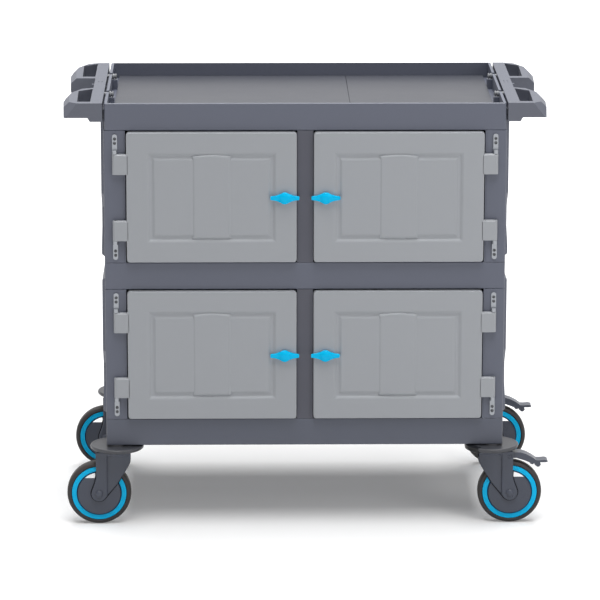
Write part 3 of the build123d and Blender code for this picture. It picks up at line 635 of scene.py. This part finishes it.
# The right door of each tier is the master, and both doors are copies of it
for tier in tiers:
    middle = middleOf(tier)
    parts = [doorLeaf(middle), doorBand(middle)]
    parts += [doorLug(middle + way * lugLook["place"]) for way in (-1, 1)]
    master = joined(parts, f"door_{tier}")
    for side in sides:
        leaf = copied(master, f"door_{tier}_{side}_leaf", mirrored=side == "left")
        finished(leaf, f"door_{tier}_{side}")
    bpy.data.objects.remove(master)

print("latch knobs")
knobLook = dict(hub=0.0140, thick=0.0090, hubSides=16, wingFrom=0.80, shorten=0.35, thin=0.92,
                wings=((0.0062, 0.64), (0.0075, 0.80), (0.0060, 0.86), (0.0012, 0.80)),
                dome=((0.0034, 0.0026), (0.0044, 0.0018)), smooth=3, angle=60,
                shaft=0.0065, shaftFrom=0.001, shaftSteps=32)


def latchKnob(tier, side):
    low, high = (Vector(corner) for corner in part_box(f"latch_knob_{tier}_{side}"))
    middle = (low + high) / 2
    middle.y = low.y + knobLook["dome"][0][1] + knobLook["dome"][1][1] + knobLook["thick"] / 2
    piece = settle(cylinder(knobLook["hub"], knobLook["thick"], middle, knobLook["hubSides"],
                            laidDown))
    piece.name = f"knob_{tier}_{side}"
    bpy.ops.object.mode_set(mode="EDIT")
    # The two wings, drawn out of the hub's sides
    for way in (-1, 1):
        pick(piece, lambda c, n: abs(n.y) < 0.5
             and (c.x - middle.x) * way > knobLook["hub"] * knobLook["wingFrom"])
        for step, squeeze in knobLook["wings"]:
            pushed((way * step, 0, 0))
            bpy.ops.transform.resize(value=(knobLook["shorten"], knobLook["thin"], squeeze))
    # The dome of the hub
    pick(piece, lambda c, n: n.y < -facing and (c - middle).length < knobLook["hub"])
    for inset, rise in knobLook["dome"]:
        bpy.ops.mesh.inset(thickness=inset)
        bpy.ops.transform.translate(value=(0, -rise, 0))
    bpy.ops.object.mode_set(mode="OBJECT")
    rounding = piece.modifiers.new("rounding", "SUBSURF")
    rounding.levels = rounding.render_levels = knobLook["smooth"]
    applyAll(piece)
    # Brought to the width and height of the CAD knob
    reach = [max(abs(vert.co[i] - middle[i]) for vert in piece.data.vertices) for i in (0, 2)]
    wider, taller = ((high[i] - low[i]) / 2 / found for i, found in zip((0, 2), reach))
    toMiddle, fromMiddle = Matrix.Translation(middle), Matrix.Translation(-middle)
    piece.data.transform(toMiddle @ Matrix.Diagonal((wider, 1, taller, 1)) @ fromMiddle)
    # The shaft behind the knob, through the door
    radius, start, end = knobLook["shaft"], knobLook["shaftFrom"], high.y - middle.y
    shaft = turned(f"shaft_{tier}_{side}", ((0, start), (radius, start), (radius, end), (0, end)),
                   middle, yAxis, knobLook["shaftSteps"])
    return joined([piece, shaft], piece.name)


for tier in tiers:
    for side in sides:
        finished(latchKnob(tier, side), f"latch_knob_{tier}_{side}", angle=knobLook["angle"])

print("casters")
# The front right wheel and swivel, and the way from them to the rear ones
wheelMiddle = Vector((0.4805, -0.247, 0.075))
swivelMiddle = Vector((0.438, -0.247, 0))
rearShift = (0, 0.494, 0)
endY = {"front": swivelMiddle.y, "rear": swivelMiddle.y + rearShift[1]}
# In the outlines, each point is a radius and a place along the axis
tyreLook = dict(outline=((0.0635, -0.0120), (0.0643, -0.0124), (0.0650, -0.0150),
                         (0.0662, -0.01575), (0.0695, -0.0153), (0.0721, -0.0140),
                         (0.0739, -0.0116), (0.0748, -0.0080), (0.0750, 0)), steps=96)
capLook = dict(outline=((0, -0.0300), (0.0030, -0.0298), (0.0058, -0.0291), (0.0079, -0.0279),
                        (0.0090, -0.0264), (0.0092, -0.0250), (0.0060, -0.0250)),
               steps=48, angle=50)
ringShadeLook = dict(outline=((0.0488, -0.0118), (0.0508, -0.0118), (0.0513, -0.0153),
                        (0.0527, -0.0153), (0.0532, -0.0148), (0.0532, -0.0100)), steps=96)


def bothWays(outline):
    # The outline followed by its mirror image along the axis
    return list(outline) + [(radius, -along) for radius, along in reversed(outline) if along]


def closed(outline):
    return [*outline, outline[0]]


def everyCorner(master, nodeStem, slot=None, angle=smoothAngle, beside=False):
    # The front right piece is the master. Its copies take the nodes' places or go beside them
    for end in ends:
        shift = rearShift if end == "rear" else (0, 0, 0)
        for side in sides:
            nodeName = f"{nodeStem}_{end}_{side}"
            twin = copied(master, f"{master.name}_{end}_{side}", shift, side == "left")
            if beside:
                activate(twin)
                bpy.ops.object.shade_smooth_by_angle(angle=math.radians(angle))
                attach(twin, bodyOf[nodeName])
                dress(twin, pieceFinishes[master.name])
            else:
                finished(twin, nodeName, slot, angle)
    bpy.data.objects.remove(master)


tyre = turned("tyre", closed(bothWays(tyreLook["outline"])), wheelMiddle, yAxis,
              tyreLook["steps"])
everyCorner(tyre, "tyre")
axleCap = turned("axleCap", bothWays(capLook["outline"]), wheelMiddle, yAxis, capLook["steps"])
everyCorner(axleCap, "axle", "caster_plastic", capLook["angle"])
# A dark line inside the wheel's ring: painted shade, for the shaded gap between ring and guard
ringShade = turned("ringShade", closed(bothWays(ringShadeLook["outline"])), wheelMiddle, yAxis,
                 ringShadeLook["steps"])
everyCorner(ringShade, "wheel_centre", "accent_plastic", beside=True)

# The front guard is cut off higher up than the rear one
guardLook = dict(outline=((0.00605, -0.0160), (0.0499, -0.0160), (0.0502, -0.0163),
                          (0.0502, -0.0179), (0.0497, -0.0185), (0.0478, -0.0185),
                          (0.0464, -0.0177), (0.0200, -0.0175), (0.00605, -0.0175),
                          (0.00605, -0.0160)), frontCut=0.037, rearCut=0.022, steps=96)
guards = []
for way, cut in ((1, guardLook["frontCut"]), (-1, guardLook["rearCut"])):
    outline = [(radius, way * along) for radius, along in guardLook["outline"]]
    guard = turned(f"guard{way + 1}", outline, wheelMiddle, yAxis, guardLook["steps"])
    bpy.ops.object.mode_set(mode="EDIT")
    bpy.ops.mesh.select_all(action="SELECT")
    bpy.ops.mesh.bisect(plane_co=wheelMiddle + Vector((0, 0, cut)), plane_no=zAxis,
                        use_fill=True, clear_outer=True)
    bpy.ops.object.mode_set(mode="OBJECT")
    guards.append(guard)
everyCorner(joined(guards, "guards"), "thread_guards")

discLook = dict(outline=((0.0062, 0.1780), (0.0400, 0.1780), (0.0520, 0.1790), (0.0590, 0.1812),
                         (0.0618, 0.1838), (0.0625, 0.1866), (0.0621, 0.1889), (0.0610, 0.1902),
                         (0.0592, 0.1906), (0.0560, 0.1901), (0.0520, 0.1898), (0.0245, 0.1898),
                         (0.0240, 0.1936), (0.0062, 0.1936), (0.0062, 0.1780)),
                steps=96, angle=40)
discs = []
for end in ends:
    for way in (-1, 1):
        middle = (way * swivelMiddle.x, endY[end], 0)
        discs.append(turned(f"disc_{end}_{way + 1}", discLook["outline"], middle, zAxis,
                            discLook["steps"]))
finished(joined(discs, "discs"), "bumper_discs", angle=discLook["angle"])

# A dark clip over the inner edge of each braked disc: painted shade, for the shadow on the disc's
# inner end
shadeClipLook = dict(outline=((0.0500, 0.1770), (0.0590, 0.1778), (0.0628, 0.1800), (0.0636, 0.1850),
                         (0.0630, 0.1896), (0.0600, 0.1915), (0.0500, 0.1912), (0.0500, 0.1770)),
                start=236, sweep=82, steps=24)
for end in ends:
    middle = (swivelMiddle.x, endY[end], 0)
    clip = turned(f"discClip_{end}", shadeClipLook["outline"], middle, zAxis, shadeClipLook["steps"],
                  shadeClipLook["start"], shadeClipLook["sweep"])
    # Its two open ends are filled
    bpy.ops.object.mode_set(mode="EDIT")
    bpy.ops.mesh.select_mode(type="EDGE")
    bpy.ops.mesh.select_all(action="DESELECT")
    bpy.ops.mesh.select_non_manifold()
    bpy.ops.mesh.edge_face_add()
    bpy.ops.mesh.select_all(action="SELECT")
    bpy.ops.mesh.normals_make_consistent(inside=False)
    bpy.ops.object.mode_set(mode="OBJECT")
    bpy.ops.object.shade_smooth_by_angle(angle=math.radians(smoothAngle))
    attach(clip, bodyOf["bumper_discs"])
    dress(clip, pieceFinishes["brake_housing_front_right"])

# A dark plate behind each arm of a fork, whose rim shows as a line round the arm: a painted
# shadow line, for the shaded gap between arm and guard
shadePlateLook = dict(place=0.0174, thick=0.00105, gap=0.0023, axle=(0.0425, 0.075), boss=0.0180,
                bossArc=(-141, 20), bossSteps=24,
                edges=((-0.0099, 0.1270), (-0.0099, 0.1108), (-0.0018, 0.0977)),
                backEdges=((0.0543, 0.1015), (0.0510, 0.1150), (0.0517, 0.1270)))


def shadePlateOutline():
    # The fork's outline over the wheel, a little wider all round
    first, last = shadePlateLook["bossArc"]
    axleX, axleZ = shadePlateLook["axle"]
    radius = shadePlateLook["boss"] + shadePlateLook["gap"]
    around = []
    for i in range(shadePlateLook["bossSteps"] + 1):
        angle = math.radians(first + (last - first) * i / shadePlateLook["bossSteps"])
        around.append((axleX + radius * math.cos(angle), axleZ + radius * math.sin(angle)))
    return [*shadePlateLook["edges"], *around, *shadePlateLook["backEdges"]]


def slab(name, outline, thickness):
    # A flat plate: its outline, filled and thickened
    piece = drawn(name, outline)
    bpy.ops.mesh.edge_face_add()
    pushed(thickness)
    bpy.ops.mesh.select_all(action="SELECT")
    bpy.ops.mesh.normals_make_consistent(inside=False)
    bpy.ops.object.mode_set(mode="OBJECT")
    return settle(piece)


shadePlates = []
for way in (-1, 1):
    plateY = swivelMiddle.y + way * shadePlateLook["place"]
    outline = [Vector((swivelMiddle.x + x, plateY, z)) for x, z in shadePlateOutline()]
    shadePlates.append(slab("shadePlate", outline, Vector((0, way * shadePlateLook["thick"], 0))))
everyCorner(joined(shadePlates, "armShadePlate"), "caster_fork", "tyre_rubber", beside=True)

# Sizes across the fork are measured from its swivel, and sizes along Y from its axle's middle
forkLook = dict(voxel=0.0013, flow=0.5, passes=9, keep=0.3, angle=60, waist=(0.0600, 0.1680),
                web=(-0.045, 0.0235), flank=(0.005, 0.045), curve=0.060, crown=0.0243,
                curveSides=128, curveLength=0.3, curveZ=0.12)
casterRadii = dict(wheelCentre=0.0011, pedal=0.0016, housing=0.0014)


def webCutters(side, axleY):
    # What is taken off the fork's flanks so that its web curves back beside the arm
    across = 1 if side == "right" else -1
    bottom, top = forkLook["waist"]
    cutters = []
    for way in (-1, 1):
        start, end = sorted(across * (swivelMiddle.x + edge) for edge in forkLook["web"])
        near, far = sorted(axleY + way * reach for reach in forkLook["flank"])
        cutter = block("cutter", (start, near, bottom), (end, far, top))
        curveY = axleY + way * (forkLook["crown"] - forkLook["curve"])
        curve = cylinder(forkLook["curve"], forkLook["curveLength"],
                         (across * swivelMiddle.x, curveY, forkLook["curveZ"]),
                         forkLook["curveSides"])
        carved(cutter, settle(curve))
        cutters.append(cutter)
    return cutters


def cast(piece):
    # Remeshed and smoothed, so its shapes flow into each other as in a casting
    remesh = piece.modifiers.new("remesh", "REMESH")
    remesh.mode = "VOXEL"
    remesh.voxel_size = forkLook["voxel"]
    flow = piece.modifiers.new("flow", "SMOOTH")
    flow.factor = forkLook["flow"]
    flow.iterations = forkLook["passes"]
    fewer = piece.modifiers.new("fewer", "DECIMATE")
    fewer.ratio = forkLook["keep"]
    applyAll(piece)


for end in ends:
    for side in sides:
        softened(f"wheel_centre_{end}_{side}", casterRadii["wheelCentre"])
        fork = copyOfNode(f"caster_fork_{end}_{side}")
        for cutter in webCutters(side, endY[end]):
            carved(fork, cutter)
        cast(fork)
        finished(fork, f"caster_fork_{end}_{side}", angle=forkLook["angle"])
    softened(f"brake_pedal_{end}_right", casterRadii["pedal"])
    softened(f"brake_housing_{end}_right", casterRadii["housing"])

print("hinges, bolts and screws")
hingeRoll = 0.0009
softened("hinge_plates", hingeRoll)

screwLook = dict(head=0.0035, height=0.0018, socket=0.0017, depth=0.0012, chamfer=0.0005,
                 shank=0.0019, headSides=18)
screws = []
for low, high in solidBoxes("hinge_screws"):
    middle = (low + high) / 2
    middle.y = low.y + screwLook["height"] / 2
    screw = settle(cylinder(screwLook["head"], screwLook["height"], middle,
                            screwLook["headSides"], laidDown))
    bpy.ops.object.mode_set(mode="EDIT")
    pick(screw, lambda c, n: n.y < -facing)
    bpy.ops.mesh.bevel(offset=screwLook["chamfer"], segments=2)
    pick(screw, lambda c, n: n.y < -facing)
    bpy.ops.mesh.inset(thickness=screwLook["socket"] - screwLook["chamfer"])
    pushed((0, screwLook["depth"], 0))
    pick(screw, lambda c, n: n.y > facing)
    bpy.ops.mesh.inset(thickness=screwLook["head"] - screwLook["shank"])
    pushed((0, high.y - low.y - screwLook["height"], 0))
    bpy.ops.object.mode_set(mode="OBJECT")
    screws.append(screw)
finished(joined(screws, "screws"), "hinge_screws")

# The bolt's head has a groove round it, and its shank runs on as far as the CAD bolt
boltLook = dict(head=((0, 0), (0.0046, 0.0002), (0.0060, 0.0012), (0.0065, 0.0026),
                      (0.0061, 0.0040), (0.0050, 0.0050), (0.0050, 0.0058), (0.0061, 0.0068),
                      (0.0065, 0.0082), (0.0061, 0.0098), (0.0050, 0.0110), (0.0045, 0.0110)),
                shank=0.0045, steps=32, angle=60)
bolts = []
for low, high in solidBoxes("handle_bolts"):
    way = 1 if low.x > 0 else -1
    start = low.x if way > 0 else high.x
    length = high.x - low.x
    outline = [*boltLook["head"], (boltLook["shank"], length), (0, length)]
    middle = (start, (low.y + high.y) / 2, (low.z + high.z) / 2)
    bolts.append(turned("bolt", outline, middle, (way, 0, 0), boltLook["steps"]))
finished(joined(bolts, "bolts"), "handle_bolts", angle=boltLook["angle"])

print("camera, light and floor")
shot = dict(place=(-0.1599, -8.6223, 2.5366), yaw=1.0173, pitch=13.4413, roll=0.095,
            focalPixels=3717.26, frameWidth=600, sensor=36, clipEnd=60)
bpy.ops.object.camera_add(location=shot["place"])
camera = bpy.context.object
turn = Matrix.Rotation(-math.radians(shot["yaw"]), 4, "Z")
turn = turn @ Matrix.Rotation(math.radians(90 - shot["pitch"]), 4, "X")
turn = turn @ Matrix.Rotation(math.radians(shot["roll"]), 4, "Z")
camera.matrix_world = Matrix.Translation(shot["place"]) @ turn
camera.data.sensor_width = shot["sensor"]
camera.data.lens = shot["focalPixels"] * shot["sensor"] / shot["frameWidth"]
camera.data.clip_end = shot["clipEnd"]
bpy.context.scene.camera = camera
bpy.context.scene.view_settings.view_transform = "Standard"

# A long light overhead gives the soft shadow, and the floor throws it back at the shapes
lamps = {
    "stripLamp": dict(place=(0.3, -0.1, 12.0), aim=(0.3, -0.1, 0), size=(8.0, 18.0), power=2850),
    "sideLamp": dict(place=(1.7, -1.9, 1.7), aim=(0.1, 0, 0.6), size=(0.8, 0.8), power=9),
}
for lampName, lamp in lamps.items():
    bpy.ops.object.light_add(type="AREA", location=lamp["place"])
    lit = bpy.context.object
    lit.name = lampName
    lit.data.energy = lamp["power"]
    lit.data.shape = "RECTANGLE"
    lit.data.size, lit.data.size_y = lamp["size"]
    ray = Vector(lamp["aim"]) - Vector(lamp["place"])
    lit.rotation_euler = ray.to_track_quat("-Z", "Y").to_euler()

# The backdrop looks white, and gives hardly any light itself
studio = dict(dome=0.03, floorSize=60, floorShade=(0.80, 0.80, 0.80, 1), glow=0.22, farGlow=0.5,
              glowStart=0.9, glowEnd=2.5, horizon=(3.0, 11.0), horizonGlow=0.6)
black = (0, 0, 0, 1)
white = (1, 1, 1, 1)
dome = bpy.data.worlds.new("studioDome")
bpy.context.scene.world = dome
dome.use_nodes = True
domeFinish = Finish(dome.node_tree, "Background")
domeGlow = studio["dome"] + domeFinish.showsBackdrop() * (1 - studio["dome"])
domeFinish.feed(Color=white, Strength=domeGlow)

# The floor glows a little near the cart, and more from there to the horizon
deselectAll()
bpy.ops.mesh.primitive_plane_add(size=studio["floorSize"], location=(0, 0, 0))
floor = bpy.context.object
floor.name = "studioFloor"
floorMaterial, floorFinish = newFinish("floorWhite")
far = floorFinish.node("VectorMath", {0: floorFinish.place()}, out="Value", operation="LENGTH")
near = floorFinish.node("MapRange", {"Value": far, "From Min": studio["glowStart"],
                                     "From Max": studio["glowEnd"], "To Min": studio["glow"],
                                     "To Max": studio["farGlow"]},
                        interpolation_type="SMOOTHSTEP")
skyline = floorFinish.node("MapRange", {"Value": far, "From Min": studio["horizon"][0],
                                        "From Max": studio["horizon"][1], "To Min": 0.0,
                                        "To Max": studio["horizonGlow"]})
glow = floorFinish.blend((near + skyline) * floorFinish.showsBackdrop(), black, white)
floorFinish.feed(Base_Color=studio["floorShade"], Roughness=1.0, Specular_IOR_Level=0.0)
floorFinish.feed(Emission_Color=glow, Emission_Strength=1.0)
dress(floor, floorMaterial)
